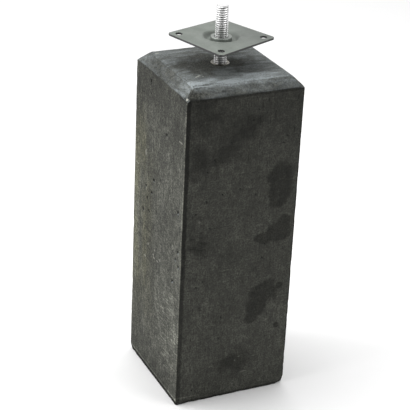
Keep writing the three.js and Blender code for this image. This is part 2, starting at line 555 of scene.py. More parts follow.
# %% [markdown]
# ## The cast block: waves, trowel marks and worn edges
#
# A mould face is never quite flat, the top was smoothed by hand, and the edges lost grains when the block
# was lifted out. Each point moves along its normal by a few tenths of a millimetre of smooth noise, and near
# an edge by more, but only where a second noise says that grains broke away.

# %% Relief on the block
WAVE_DEPTH = 0.2 * MM
WAVE_SCALE = 9.0
GRAIN_DEPTH = 0.08 * MM
GRAIN_SCALE = 190.0
TROWEL_DEPTH = 0.2 * MM
TROWEL_STROKE = Vector((14.0, 95.0, 0.0))
EDGE_BREAK_DEPTH = 0.9 * MM
EDGE_BREAK_REACH = 4 * MM
EDGE_BREAK_SCALE = 75.0
EDGE_BREAK_LEVEL = 0.12
FOOT_BREAK_DEPTH = 1.8 * MM
CORNER_SCALE = 160.0
CORNER_SHARE = 0.8
CORNER_UNREST = 0.5
FRACTAL = (1.0, 2.0, 3)
FACES_UP = 0.5
# Each broken corner has a place, a reach and a depth
CORNER_BREAKS = [
    (Vector((-BLOCK_HALF, -BLOCK_HALF, SHOULDER)), 6 * MM, 2.5 * MM),
    (Vector((BLOCK_HALF, -BLOCK_HALF, 0.0)), 13 * MM, 4.5 * MM),
    (Vector((-BLOCK_HALF, BLOCK_HALF, 0.0)), 8 * MM, 2.5 * MM),
    (Vector((BLOCK_HALF, BLOCK_HALF, SHOULDER)), 7 * MM, 2.0 * MM),
]


def edge_wear(place):
    """How deep grains have broken away from the edges."""
    across = sorted((BLOCK_HALF - abs(place.x), BLOCK_HALF - abs(place.y)))
    upright = math.hypot(across[0], across[1])
    shoulder = math.hypot(across[0], place.z - SHOULDER)
    crown = math.hypot(across[0] - TOP_CHAMFER, BLOCK_TOP - place.z)
    foot = math.hypot(across[0], place.z)
    depth = EDGE_BREAK_DEPTH * closeness(min(upright, shoulder, crown), EDGE_BREAK_REACH)
    depth = max(depth, FOOT_BREAK_DEPTH * closeness(foot, EDGE_BREAK_REACH))
    return depth * max(0.0, noise.fractal(place * EDGE_BREAK_SCALE, *FRACTAL) - EDGE_BREAK_LEVEL)


def corner_wear(place):
    depth = 0.0
    for middle, reach, deepest in CORNER_BREAKS:
        depth += deepest * closeness((place - middle).length, reach)
    return depth * (CORNER_SHARE + CORNER_UNREST * noise.noise(place * CORNER_SCALE))


def relief(place, normal):
    """How far a point moves outwards."""
    moved = WAVE_DEPTH * noise.fractal(place * WAVE_SCALE, *FRACTAL)
    moved += GRAIN_DEPTH * noise.noise(place * GRAIN_SCALE)
    if normal.z > FACES_UP:
        moved += TROWEL_DEPTH * normal.z * noise.noise(place * TROWEL_STROKE)
    return moved - drawn_in(place) - edge_wear(place) - corner_wear(place)


block.normal_update()
moves = [(vert, vert.normal * relief(vert.co, vert.normal)) for vert in block.verts]
for vert, step in moves:
    vert.co += step
    vert.co.z = max(vert.co.z, 0.0)
print("largest move", round(max(step.length for vert, step in moves) / MM, 2), "mm")

# %% [markdown]
# ## The cast block: the pocket for the socket
#
# The steel socket sits in the concrete, so the block has a pocket under its rim. The points of the top that
# lie inside the rim are let down. The rim hides the steep wall that this leaves.

# %% Let the pocket down
SOCKET_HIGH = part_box("threaded_socket")[1]
SOCKET_RADIUS = SOCKET_HIGH.x
POCKET_UNDER_RIM = 1.5 * MM
POCKET_RADIUS = SOCKET_RADIUS - POCKET_UNDER_RIM
POCKET_DEPTH = 12 * MM
pocket_points = [
    vert for vert in block.verts if vert.co.z > SHOULDER and vert.co.xy.length < POCKET_RADIUS
]
bmesh.ops.translate(block, vec=(0, 0, -POCKET_DEPTH), verts=pocket_points)
print("points in the pocket:", len(pocket_points))

# %% [markdown]
# ## The cast block: pinholes
#
# Air bubbles held against the mould leave pinholes. The faces that lie where a bubble was are inset and
# pushed in, which makes a real pit with steep sides. Those that stand out follow the photograph, the rest are
# scattered by a seeded draw, so that they are the same on every run. A value on the pit's points lets the
# material paint shade into it.

# %% Pinholes in the block
# Each pinhole has a place along its face and a height, in millimetres
PINHOLES_LEFT = [
    (44, 304), (15, 324), (30, 267), (-74, 312), (-79, 252), (-81, 228), (-62, 197), (33, 470), (-27, 411),
    (38, 285), (22, 301), (52, 262), (-70, 236),
]
PINHOLES_FRONT = [(22, 329), (-48, 288), (-30, 338), (41, 226)]
SCATTERED_PINHOLES = 90
SCATTER_ACROSS = 0.94
SCATTER_LOW = 0.03
SCATTER_HIGH = 0.95
SCATTER_SEED = 41
LARGE_PINHOLE = 3.1 * MM
SMALL_PINHOLE = 1.0 * MM
PINHOLE_DEPTH = 1.3 * MM
PINHOLE_RIM = 0.35 * MM
random.seed(SCATTER_SEED)


def pinhole_places():
    """Where the bubbles were, and how wide."""
    places = [(Vector((-BLOCK_HALF, y * MM, z * MM)), LARGE_PINHOLE) for y, z in PINHOLES_LEFT]
    places += [(Vector((x * MM, -BLOCK_HALF, z * MM)), SMALL_PINHOLE) for x, z in PINHOLES_FRONT]
    for count in range(SCATTERED_PINHOLES):
        along = random.uniform(-SCATTER_ACROSS, SCATTER_ACROSS) * BLOCK_HALF
        height = random.uniform(SCATTER_LOW, SCATTER_HIGH) * SHOULDER
        out = random.choice((-BLOCK_HALF, BLOCK_HALF))
        on_x_side = random.choice((True, True, False))
        place = Vector((out, along, height)) if on_x_side else Vector((along, out, height))
        places.append((place, SMALL_PINHOLE))
    return places


def press_pinholes(shape):
    pinhole_value = shape.verts.layers.float.new("pinhole")
    faces = shape.faces[:]
    finder = kdtree.KDTree(len(faces))
    for index, face in enumerate(faces):
        finder.insert(face.calc_center_median(), index)
    finder.balance()
    chosen = set()
    for place, radius in pinhole_places():
        found = finder.find_range(place, radius) or [finder.find(place)]
        chosen.update(index for middle, index, distance in found)
    pits = [faces[index] for index in sorted(chosen)]
    bmesh.ops.inset_region(
        shape, faces=pits, use_boundary=True, use_even_offset=True, thickness=PINHOLE_RIM,
        depth=-PINHOLE_DEPTH,
    )
    for pit in pits:
        for vert in pit.verts:
            vert[pinhole_value] = 1.0
    return len(pits)


print("faces in pinholes:", press_pinholes(block))

# %% [markdown]
# ## Concrete: the faces and the grain
#
# The concrete is coloured through, a warm anthracite. The object's own normal tells the faces apart, which is
# how a layer can lie on the front alone. Three sizes of noise make the clouds, the mottle and the sandy
# grain. They multiply each other, as they do in the real mix, and three of the sides are calmer than the
# left one and the top.

# %% Concrete: faces and grain
CONCRETE_BASE = (0.0479, 0.0486, 0.0416, 1.0)
# Each noise has a squeeze, a detail and a strength
CLOUDS = ((22, 22, 16), 4.0, 0.24)
MOTTLE = ((150, 150, 120), 4.0, 0.40)
SANDY_GRAIN = ((480, 480, 420), 2.0, 0.55)
SIDE_CALM = 0.40
FACE_FULL = 0.9
FACE_EDGE = 0.75

concrete = Finish("anthracite_concrete")
concrete.colour = CONCRETE_BASE
on_front = concrete.fall(concrete.facing["Y"], -FACE_FULL, -FACE_EDGE)
on_left = concrete.fall(concrete.facing["X"], -FACE_FULL, -FACE_EDGE)
on_right = concrete.rise(concrete.facing["X"], FACE_EDGE, FACE_FULL)
on_back = concrete.rise(concrete.facing["Y"], FACE_EDGE, FACE_FULL)
on_calm_sides = concrete.largest(on_front, on_right, on_back)
noises = []
for squeeze, detail, strength in (CLOUDS, MOTTLE, SANDY_GRAIN):
    raw = concrete.streaks(squeeze, detail=detail)["Raw"]
    shade = concrete.rise(raw, NOISE_LOW, NOISE_HIGH, 1.0 - strength, 1.0 + strength)
    concrete.tone = concrete.times(concrete.tone, shade)
    noises.append(raw)
mottle, grain = noises[1:]
concrete.calm(SIDE_CALM, on_calm_sides)
print("grain layers:", len(noises))

# %% [markdown]
# ## Concrete: mould marks and scratches
#
# Pulling the block out of its mould left fine upright streaks, pale on the left face and faint on the other
# sides, and handling left level scratches on the lower half of the left face. All of them are streaks: what
# differs is how far the noise is squeezed along the face, and in which zone the mask is let through.

# %% Concrete: mould marks
UPRIGHT = {"squeeze": (430, 430, 42), "low": 0.45, "high": 0.68}
UPRIGHT_ON_LEFT = 0.50
UPRIGHT_ON_CALM_SIDES = 0.18
HOLLOW = {"squeeze": (380, 380, 60), "low": 0.60, "high": 0.68}
HOLLOW_SHADE = 0.40

upright = concrete.streaks(**UPRIGHT)
concrete.lighten(UPRIGHT_ON_LEFT, upright["Mask"], on_left)
concrete.lighten(UPRIGHT_ON_CALM_SIDES, upright["Mask"], on_calm_sides)
concrete.darken(HOLLOW_SHADE, concrete.streaks(**HOLLOW)["Mask"])
print("mould marks are laid")

# %% Concrete: scratches on the left face
SCRATCH = {"squeeze": (0, 30, 330), "low": 0.52, "high": 0.62, "detail": 2.0}
SCRATCH_TURN = 0.10
LOW_SCRATCH_SHINE = 0.8
HIGH_SCRATCH_SHADE = 0.40

low_scratches = concrete.streaks(**SCRATCH, turn=SCRATCH_TURN)["Mask"]
near_front = concrete.fall(concrete.y, -35, 25)
low_zone = concrete.band(concrete.z, 45, 175, 25)
concrete.lighten(LOW_SCRATCH_SHINE, low_scratches, on_left, near_front, low_zone)
high_scratches = concrete.streaks(**SCRATCH, turn=-SCRATCH_TURN)["Mask"]
away_from_front = concrete.rise(concrete.y, 0, 25)
high_zone = concrete.band(concrete.z, 200, 245, 12)
concrete.darken(HIGH_SCRATCH_SHADE, high_scratches, on_left, away_from_front, high_zone)
print("scratches are laid")

# %% Concrete: strokes and hairlines on the front
DARK_STROKE = {"squeeze": (330, 330, 45), "low": 0.58, "high": 0.68}
STROKE_SHADE = 0.65
DARK_HAIRLINE = {"squeeze": (45, 45, 330), "low": 0.56, "high": 0.66}
DARK_HAIRLINE_SHADE = 0.45
PALE_HAIRLINE = {"squeeze": (45, 45, 330), "low": 0.60, "high": 0.70, "detail": 3.0, "turn": 0.02}
PALE_HAIRLINE_SHINE = 0.45

strokes = concrete.streaks(**DARK_STROKE)["Mask"]
near_top_right = concrete.times(concrete.rise(concrete.x, -20, 30), concrete.rise(concrete.z, 360, 430))
concrete.darken(STROKE_SHADE, strokes, on_front, near_top_right)
hairlines = concrete.streaks(**DARK_HAIRLINE)["Mask"]
mid_left = concrete.times(concrete.band(concrete.z, 200, 300, 25), concrete.fall(concrete.x, -20, 30))
concrete.darken(DARK_HAIRLINE_SHADE, hairlines, on_front, mid_left)
concrete.lighten(PALE_HAIRLINE_SHINE, concrete.streaks(**PALE_HAIRLINE)["Mask"], on_front)
print("strokes and hairlines are laid")

# %% [markdown]
# ## Concrete: broad shades
#
# The front is darker than the rest, and so is the upper part of every side: this is painted shade, for the
# front is turned from the main lamp and the upper part gets less light back from the floor. On the left face a
# strip along the front edge and one at the far edge are chafed paler, and the foot is dark. These are plain
# smooth steps along one axis or two.

# %% Concrete: broad shades
FRONT_PAINTED_SHADE = 0.13
FRONT_UPPER_PAINTED_SHADE = 0.11
CALM_SIDES_TOP_PAINTED_SHADE = 0.28
LEFT_TOP_PAINTED_SHADE = 0.26
FAR_STRIP_SHINE = 0.33
LEFT_LOWER_SHINE = 0.08
CHAFED_SHINE = 0.25
LEFT_FOOT_SHADE = 0.35

# Painted shade: the whole front, and the upper part of every side, are darkened
concrete.darken(FRONT_PAINTED_SHADE, on_front)
concrete.darken(FRONT_UPPER_PAINTED_SHADE, on_front, concrete.rise(concrete.z, 120, 260))
concrete.darken(CALM_SIDES_TOP_PAINTED_SHADE, on_calm_sides, concrete.rise(concrete.z, 300, 480))
concrete.darken(LEFT_TOP_PAINTED_SHADE, on_left, concrete.rise(concrete.z, 360, 480))
far_strip = concrete.times(concrete.rise(concrete.y, 60, 80), concrete.band(concrete.z, 120, 360, 40))
concrete.lighten(FAR_STRIP_SHINE, on_left, far_strip)
concrete.lighten(LEFT_LOWER_SHINE, on_left, concrete.fall(concrete.z, 330, 400))
chafed = concrete.times(concrete.fall(concrete.y, -80, -35), concrete.band(concrete.z, 60, 330, 40))
concrete.lighten(CHAFED_SHINE, on_left, chafed)
left_foot = concrete.times(concrete.fall(concrete.z, 8, 45), concrete.rise(concrete.y, -78, -45))
concrete.darken(LEFT_FOOT_SHADE, on_left, left_foot)
print("broad shades are laid")

# %% [markdown]
# ## Concrete: the edges
#
# Edges tell a cast block from a drawn one. The upright edge nearest the camera has a black stripe on its
# front and a thin pale one on its left, a dark line runs under the shoulder, and the foot is pale where it
# chafed, with painted shade below it where the block meets the floor. A slow noise makes most of the dark
# lines wander, so that none of those looks ruled.

# %% Concrete: upright edges and shoulder
EDGE_WANDER = 5.0
WANDER_SCALE = (90, 90, 90)
SHOULDER_MM = SHOULDER / MM
STRIPE_SHADE = 0.45
STRIPE_UPPER_SHADE = 0.35
RIGHT_EDGE_SHADE = 0.45
EDGE_LINE_SHINE = 0.30
EDGE_LINE_UPPER_SHINE = 0.35
SHOULDER_LINE_SHADE = 0.38

wander = concrete.times(concrete.plus(concrete.streaks(WANDER_SCALE)["Raw"], -NOISE_MIDDLE), EDGE_WANDER)
wandering_x = concrete.plus(concrete.x, wander)
wandering_z = concrete.plus(concrete.z, wander)
front_stripe = concrete.times(on_front, concrete.fall(wandering_x, -84.6, -82.4))
concrete.darken(STRIPE_SHADE, front_stripe)
concrete.darken(STRIPE_UPPER_SHADE, front_stripe, concrete.rise(concrete.z, 130, 260))
concrete.darken(RIGHT_EDGE_SHADE, on_front, concrete.rise(wandering_x, 86.6, 88.2))
front_edge_line = concrete.fall(concrete.y, -87.4, -85.4)
concrete.lighten(EDGE_LINE_SHINE, on_left, front_edge_line)
concrete.lighten(EDGE_LINE_UPPER_SHINE, on_left, front_edge_line, concrete.rise(concrete.z, 200, 400))
under_shoulder = concrete.rise(wandering_z, SHOULDER_MM - 4.5, SHOULDER_MM - 3.0)
left_near_front = concrete.times(on_left, concrete.fall(concrete.y, -75, -55))
concrete.darken(SHOULDER_LINE_SHADE, under_shoulder, concrete.largest(on_front, left_near_front))
print("edge lines are laid")

# %% Concrete: the foot
FOOT_LINE_SHINE = 1.40
FOOT_PAINTED_SHADE = 0.75
FRONT_FOOT_PAINTED_SHADE = 0.50
FOOT_DASH_SHINE = 0.60

concrete.lighten(FOOT_LINE_SHINE, on_left, concrete.band(concrete.z, 7.2, 9.6, 0.6))
# These two lines paint shade along the foot, where the block meets the floor
concrete.darken(FOOT_PAINTED_SHADE, concrete.fall(concrete.z, 5.6, 6.8), concrete.without(on_front))
concrete.darken(FRONT_FOOT_PAINTED_SHADE, on_front, concrete.fall(wandering_z, 3.5, 6.0))
foot_dash = concrete.times(concrete.band(concrete.z, 9.5, 12.0, 0.8), concrete.fall(concrete.x, -70, -45))
concrete.lighten(FOOT_DASH_SHINE, on_front, foot_dash)
print("foot lines are laid")

# %% [markdown]
# ## Concrete: blots, pits and flecks
#
# Oil and damp left dark blots on the front, some sharp and some soft, and each has its place in the
# photograph. Pits get painted shade through the value that their points carry. Pale flecks of aggregate show
# where the skin was knocked off, most of all at the broken corner of the shoulder, whose pale chip is also
# brightened into a painted highlight.

# %% Concrete: places of blots and flecks
FRONT_BLOTS = [
    (61, 345, 23, 37), (58, 320, 18, 20), (73, 272, 14, 24), (60, 263, 20, 16), (42, 258, 20, 12),
    (46, 168, 27, 22), (34, 145, 18, 22), (27, 128, 14, 13), (71, 174, 8, 7), (71, 106, 5, 6),
]
SOFT_FRONT_BLOTS = [
    (-56, 452, 26, 34), (7, 436, 34, 32), (-70, 396, 22, 36), (-29, 398, 28, 28), (-62, 476, 30, 16),
    (2, 58, 44, 34), (-64, 262, 24, 30),
]
LEFT_FLECKS = [
    (5, 214, 3, 2), (10, 205, 3, 2.5), (6, 201, 4, 2), (-6, 201, 5, 1.5), (41, 188, 3.5, 2.5),
    (47, 355, 2.5, 7), (30, 213, 2.5, 2.5), (-14, 207, 2.5, 3), (79, 326, 9, 1.3), (-75, 419, 8, 1.3),
]
FRONT_FLECKS = [(20, 36, 7, 1.2), (5, 58, 2, 2), (11, 64, 2.5, 1.5), (-64, 300, 2, 2.5)]
TOP_FLECKS = [
    (-54, -43, 3.6, 2.4), (-50, -39, 2.4, 1.8), (-58, -46, 2, 1.6), (-47, -45, 1.8, 1.4), (-70, 63, 4, 2),
]
# A pale chip at the shoulder's corner, partly a painted highlight
CORNER_CHIP_AND_HIGHLIGHT = [((-89.0, -86.0, 486.0), (3.0, 3.6, 2.2))]
SPOT_DEPTH = 20.0


def front_spots(rows):
    """Rows of across, height, half width and half height on the front face."""
    return [((x, -BLOCK_HALF / MM, z), (wide, SPOT_DEPTH, high)) for x, z, wide, high in rows]


def left_spots(rows):
    """Rows of depth along the side, height, half width and half height on the left face."""
    return [((-BLOCK_HALF / MM, y, z), (SPOT_DEPTH, wide, high)) for y, z, wide, high in rows]


def top_spots(rows):
    """Rows of X, Y and the half width along each on the top."""
    return [((x, y, BLOCK_TOP / MM), (wide, deep, SPOT_DEPTH)) for x, y, wide, deep in rows]


print("blots on the front:", len(FRONT_BLOTS) + len(SOFT_FRONT_BLOTS))

# %% Concrete: blots and pits
BLOT_DEPTH = 0.50
BLOT_EDGE = {"fray": 1.0, "softness": 0.32}
SOFT_BLOT_DEPTH = 0.44
SOFT_BLOT_EDGE = {"fray": 2.2, "softness": 0.9}
PIT_PAINTED_SHADE = 0.85

concrete.darken(BLOT_DEPTH, on_front, concrete.spots(front_spots(FRONT_BLOTS), **BLOT_EDGE))
concrete.darken(SOFT_BLOT_DEPTH, on_front, concrete.spots(front_spots(SOFT_FRONT_BLOTS), **SOFT_BLOT_EDGE))
pits = add_node(concrete.tree, "ShaderNodeAttribute", {}, attribute_name="pinhole").outputs["Fac"]
# Painted shade in the pinholes
concrete.darken(PIT_PAINTED_SHADE, pits)
print("blots and pits are laid")

# %% [markdown]
# ## Concrete: lime on the flat top
#
# Lime came out of the hand-smoothed top as a bluish bloom. It is thickest along the front edge, thin to the
# right, and missing in a ring round the rod that is partly damp and partly the plate's painted shadow. The
# trowel drew it out in strokes along X, so the mask is the product of where it lies and of long streaks.

# %% Concrete: lime on the flat top
TOP_FACING = (0.80, 0.92)
ALONG_X = {"squeeze": (30, 115, 115), "low": 0.32, "high": 0.70}
STREAK_SHARE = 0.95
BETWEEN_STREAKS = 0.35
LIME_EVERYWHERE = 0.37
LIME_AT_CROWN = 0.72
CROWN_LIME_AT_RIGHT = 0.40
LIME_AT_RIGHT = 0.02
LIME_LOST_TO_DAMP_AND_SHADOW = 0.85
LIME_IN_PATCHES = 0.25
DAMP_AND_SHADOW_RING = [(-14, -2, 68, 48)]
DAMP_AND_SHADOW_RING_EDGE = {"fray": 1.8, "softness": 0.6, "fray_scale": 55.0}
LIME_PATCHES = [(-52, -63, 34, 10), (-12, -68, 22, 7), (19, -55, 18, 7), (52, -63, 14, 6)]
LIME_PATCH_EDGE = {"fray": 1.4, "softness": 0.8, "fray_scale": 60.0}

on_top = concrete.rise(concrete.facing["Z"], *TOP_FACING)
along_x = concrete.streaks(**ALONG_X)["Mask"]
to_the_right = concrete.rise(concrete.x, 10, 80, 1.0, CROWN_LIME_AT_RIGHT)
at_crown = concrete.times(concrete.fall(concrete.y, -68, -44), to_the_right)
at_right = concrete.rise(concrete.x, 15, 60)
# The lime is taken away round the rod: partly damp, partly the plate's painted shadow
damp_and_shadow = concrete.spots(top_spots(DAMP_AND_SHADOW_RING), **DAMP_AND_SHADOW_RING_EDGE)
top_lime = concrete.plus(
    concrete.times(at_crown, LIME_AT_CROWN), concrete.times(at_right, LIME_AT_RIGHT), LIME_EVERYWHERE
)
top_lime = concrete.times(top_lime, concrete.without(damp_and_shadow, LIME_LOST_TO_DAMP_AND_SHADOW))
patches = concrete.spots(top_spots(LIME_PATCHES), **LIME_PATCH_EDGE)
top_lime = concrete.plus(top_lime, concrete.times(patches, LIME_IN_PATCHES))
drawn_out = concrete.plus(concrete.times(along_x, STREAK_SHARE), BETWEEN_STREAKS)
top_lime = concrete.times(top_lime, drawn_out, on_top)
print("lime lies on the top")

# %% [markdown]
# ## Concrete: lime on the chamfers
#
# On the chamfers the bloom is thinner. It spills over the front crown, thins out to the right, and gathers at
# both ends of the left slope. A dark line stays beside the hip where the two slopes meet. The slopes that the
# photograph hides get the same treatment as the ones it shows.

# %% Concrete: lime on the chamfers
SLOPE_FACING = (0.3, 0.5)
SIDE_FACING = (0.4, 0.6)
ALONG_Y = {"squeeze": (170, 60, 170), "low": 0.36, "high": 0.66}
LIME_ON_FRONT_SLOPE = 0.24
SPILL_AT_LEFT = 0.50
SPILL_AT_RIGHT = 0.22
LESS_AT_LEFT_END = -0.20
FRONT_BETWEEN_STREAKS = 0.3
LIME_ON_LEFT_SLOPE = 0.13
LIME_NEAR_HIP = 0.22
LIME_AT_FAR_END = 0.20
LEFT_BETWEEN_STREAKS = 0.5

sloping = concrete.times(concrete.rise(concrete.facing["Z"], *SLOPE_FACING), concrete.without(on_top))
facing_along = add_math(concrete.tree, "ABSOLUTE", concrete.facing["Y"])
facing_across = add_math(concrete.tree, "ABSOLUTE", concrete.facing["X"])
front_slope = concrete.times(sloping, concrete.rise(facing_along, *SIDE_FACING))
left_slope = concrete.times(sloping, concrete.rise(facing_across, *SIDE_FACING))
along_y = concrete.streaks(**ALONG_Y)["Mask"]

spilled = concrete.rise(concrete.x, 0, 80, SPILL_AT_LEFT, SPILL_AT_RIGHT)
spill = concrete.times(concrete.rise(concrete.z, 489, 499), spilled)
near_left_end = concrete.times(concrete.fall(concrete.x, -78, -50), LESS_AT_LEFT_END)
front_lime = concrete.plus(spill, near_left_end, LIME_ON_FRONT_SLOPE)
front_lime = concrete.times(front_lime, front_slope, concrete.plus(along_x, FRONT_BETWEEN_STREAKS))
near_hip = concrete.times(concrete.fall(concrete.y, -55, -25), LIME_NEAR_HIP)
far_end = concrete.times(concrete.rise(concrete.y, 50, 75), LIME_AT_FAR_END)
left_lime = concrete.plus(near_hip, far_end, LIME_ON_LEFT_SLOPE)
left_lime = concrete.times(left_lime, left_slope, concrete.plus(along_y, LEFT_BETWEEN_STREAKS))
print("lime lies on the chamfers")

# %% Concrete: the line beside the hip
HIP_LINE = 0.35
FRONT_SLOPE_END_SHADE = 0.18

from_hip = concrete.plus(concrete.x, concrete.times(concrete.y, -1.0), wander)
hip_line = concrete.times(concrete.band(from_hip, 0.8, 3.6, 1.0), concrete.rise(concrete.z, 484, 487))
hip_line = concrete.times(hip_line, concrete.fall(concrete.y, -72, -68))
concrete.darken(HIP_LINE, hip_line)
concrete.darken(FRONT_SLOPE_END_SHADE, front_slope, concrete.fall(concrete.x, -78, -55))
print("the hip is lined")

# %% [markdown]
# ## Concrete: put together
#
# The tone multiplies the base colour, which is tinted olive on the far half of the left face. The bloom
# and the flecks are coats over it. Concrete is dull, so its specular level is low, and the same noises that
# colour it also give a fine bump.

# %% Concrete: colour and lime
OLIVE_BASE = (0.066, 0.064, 0.039, 1.0)
OLIVE_STREAKS = {"squeeze": (26, 26, 7), "low": 0.32, "high": 0.62}
OLIVE_SHARE = 0.55
LIME_BLOOM = (0.27, 0.298, 0.305, 1.0)
LIME_SPECKS = {"squeeze": (420, 420, 420), "low": 0.36, "high": 0.64}
SPECK_SHARE = 0.6
BETWEEN_SPECKS = 0.7

olive = concrete.streaks(**OLIVE_STREAKS)["Mask"]
far_middle = concrete.times(concrete.rise(concrete.y, -15, 70), concrete.band(concrete.z, 95, 400, 60))
olive_zone = concrete.times(on_left, far_middle)
concrete.coat(concrete.times(olive, olive_zone, OLIVE_SHARE), OLIVE_BASE)
concrete.apply_tone()
specks = concrete.streaks(**LIME_SPECKS)["Mask"]
lime = concrete.largest(top_lime, front_lime, left_lime)
lime = concrete.times(lime, concrete.without(hip_line, HIP_LINE))
lime = concrete.times(lime, concrete.plus(concrete.times(specks, SPECK_SHARE), BETWEEN_SPECKS))
concrete.coat(add_math(concrete.tree, "MINIMUM", lime, 1.0), LIME_BLOOM)
print("the bloom is a coat over the toned base")

# %% Concrete: flecks, gloss and bump
WHITE_FLECK = (0.50, 0.50, 0.44, 1.0)
FLECK_EDGE = {"fray": 0.9, "softness": 0.5, "fray_scale": 220.0}
# Each group of flecks has its spots and its share of white
FLECKS = [
    (left_spots(LEFT_FLECKS), 0.24), (front_spots(FRONT_FLECKS), 0.10), (top_spots(TOP_FLECKS), 0.42),
    # The corner chip's near white also paints a highlight
    (CORNER_CHIP_AND_HIGHLIGHT, 0.85),
]
CONCRETE_SMOOTHEST = 0.70
CONCRETE_ROUGHEST = 0.92
CONCRETE_SPECULAR = 0.12
MOTTLE_HEIGHT = 1.5
CONCRETE_BUMP_STRENGTH = 0.5
CONCRETE_BUMP_DISTANCE = 0.6 * MM

for listed, share in FLECKS:
    concrete.coat(concrete.times(concrete.spots(listed, **FLECK_EDGE), share), WHITE_FLECK)
concrete.roughen(mottle, CONCRETE_SMOOTHEST, CONCRETE_ROUGHEST)
concrete.shader.inputs["Specular IOR Level"].default_value = CONCRETE_SPECULAR
unevenness = concrete.plus(concrete.times(mottle, MOTTLE_HEIGHT), grain, upright["Raw"])
concrete.bump(unevenness, CONCRETE_BUMP_STRENGTH, CONCRETE_BUMP_DISTANCE)
finish_piece(block, "cast_block", concrete.done(), "pier", "concrete_block")

# %% [markdown]
# ## Plated and galvanised steel
#
# All the steel here is zinc coated, but each piece differently: the rod is bright, the plate dull and
# slightly green, the socket stained by cement. One function makes them all from the same parts: a cloudy
# base colour, a roughness that follows the clouds, and a fine bump.

# %% Steel
FINE_GRAIN = {"squeeze": (900, 900, 900), "low": 0.35, "high": 0.65}
CLOUD_SHARE = 0.7
FINE_SHARE = 0.3
STEEL_BUMP_STRENGTH = 0.12
STEEL_BUMP_DISTANCE = 0.2 * MM


def make_steel(name, pale, dark, cloud_scale, smooth, rough, metallic):
    steel = Finish(name)
    clouds = steel.streaks((cloud_scale, cloud_scale, cloud_scale), NOISE_LOW, NOISE_HIGH)
    fine = steel.streaks(**FINE_GRAIN)
    steel.colour = dark
    paleness = steel.plus(steel.times(clouds["Mask"], CLOUD_SHARE), steel.times(fine["Mask"], FINE_SHARE))
    steel.coat(paleness, pale)
    steel.roughen(clouds["Raw"], rough, smooth)
    steel.shader.inputs["Metallic"].default_value = metallic
    steel.bump(fine["Raw"], STEEL_BUMP_STRENGTH, STEEL_BUMP_DISTANCE)
    return steel


print("steel can be made")

# %% [markdown]
# ## The threaded rod
#
# A real thread is one groove cut along a helix. The profile of one pitch is spun upwards, a screw, so that
# the end of each turn meets the start of the next. Two planes then cut the rod to length, the cuts are
# filled, and the top end is drawn in to the bevel that lets a nut start.

# %% Threaded rod
ROD_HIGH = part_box("threaded_rod")[1]
ROD_RADIUS = ROD_HIGH.x
ROD_TOP = ROD_HIGH.z
THREAD_PITCH = 3.2 * MM
THREAD_DEPTH = 1.6 * MM
THREAD_BELOW_BLOCK = 10 * MM
THREAD_FOOT = BLOCK_TOP - THREAD_BELOW_BLOCK
ROD_END_BEVEL = 1.5 * MM
THREAD_STEPS = 48
SPARE_TURNS = 2
THREAD_WELD = 10 * WELD
# Each point has a rise as a share of the pitch and a height as a share of the depth
THREAD_PROFILE = [(0.0, 0.0), (0.16, 0.0), (0.37, 1.0), (0.79, 1.0), (1.0, 0.0)]
THREAD_SHARP = math.radians(35)


def cut_flat(shape, height, keep_below):
    outcome = bmesh.ops.bisect_plane(
        shape, geom=shape.verts[:] + shape.edges[:] + shape.faces[:], plane_co=(0, 0, height),
        plane_no=(0, 0, 1), clear_outer=keep_below, clear_inner=not keep_below,
    )
    rim = [edge for edge in outcome["geom_cut"] if isinstance(edge, bmesh.types.BMEdge)]
    bmesh.ops.edgeloop_fill(shape, edges=rim)


def threaded_bar():
    shape = bmesh.new()
    turns = math.ceil((ROD_TOP - THREAD_FOOT) / THREAD_PITCH) + SPARE_TURNS
    start = THREAD_FOOT - THREAD_PITCH
    root = ROD_RADIUS - THREAD_DEPTH
    points = [
        shape.verts.new((root + THREAD_DEPTH * share, 0.0, start + THREAD_PITCH * rise))
        for rise, share in THREAD_PROFILE
    ]
    edges = [shape.edges.new(pair) for pair in zip(points, points[1:])]
    bmesh.ops.spin(
        shape, geom=points + edges, cent=(0, 0, 0), axis=(0, 0, 1), angle=2 * math.pi * turns,
        steps=turns * THREAD_STEPS, dvec=(0, 0, THREAD_PITCH / THREAD_STEPS),
    )
    bmesh.ops.remove_doubles(shape, verts=shape.verts, dist=THREAD_WELD)
    cut_flat(shape, ROD_TOP, True)
    cut_flat(shape, THREAD_FOOT, False)
    for vert in shape.verts:
        limit = ROD_RADIUS - max(0.0, vert.co.z - (ROD_TOP - ROD_END_BEVEL))
        if vert.co.xy.length > limit:
            vert.co.xy *= limit / vert.co.xy.length
    bmesh.ops.recalc_face_normals(shape, faces=shape.faces)
    return shape


bar = threaded_bar()
print("thread has", len(bar.faces), "faces")

# %% [markdown]
# ## Bright zinc
#
# The rod is plated with bright zinc, and the grooves of its thread are dark, partly with grease and partly
# with painted shade. The shine is left to the metal and the lamps: the plating mirrors the soft lamps at the
# rod's sides, and the floor and the dark half of the room in its middle. The dark coat of grease and shade is
# chosen by the distance from the rod's axis, and kept off the cut end.

# %% Bright zinc on the rod
GROOVE_GREASE_AND_SHADE = grey(0.04, 0.06)
GROOVE_GREASE_AND_SHADE_SHARE = 0.70
GREASE_AND_SHADE_FULL_AT = ROD_RADIUS - 1.5 * MM
GREASE_AND_SHADE_ENDS_AT = ROD_RADIUS - 0.6 * MM
CUT_END_FACING = (0.93, 0.99)

zinc = make_steel(
    "bright_zinc", pale=grey(0.92), dark=grey(0.82), cloud_scale=60.0, smooth=0.28, rough=0.36, metallic=1.0
)
flat_place = add_vector_math(zinc.tree, "MULTIPLY", zinc.place, (1, 1, 0))[0]
from_axis = add_vector_math(zinc.tree, "LENGTH", flat_place)["Value"]
in_groove = zinc.fall(from_axis, GREASE_AND_SHADE_FULL_AT, GREASE_AND_SHADE_ENDS_AT)
on_thread = zinc.fall(zinc.facing["Z"], *CUT_END_FACING)
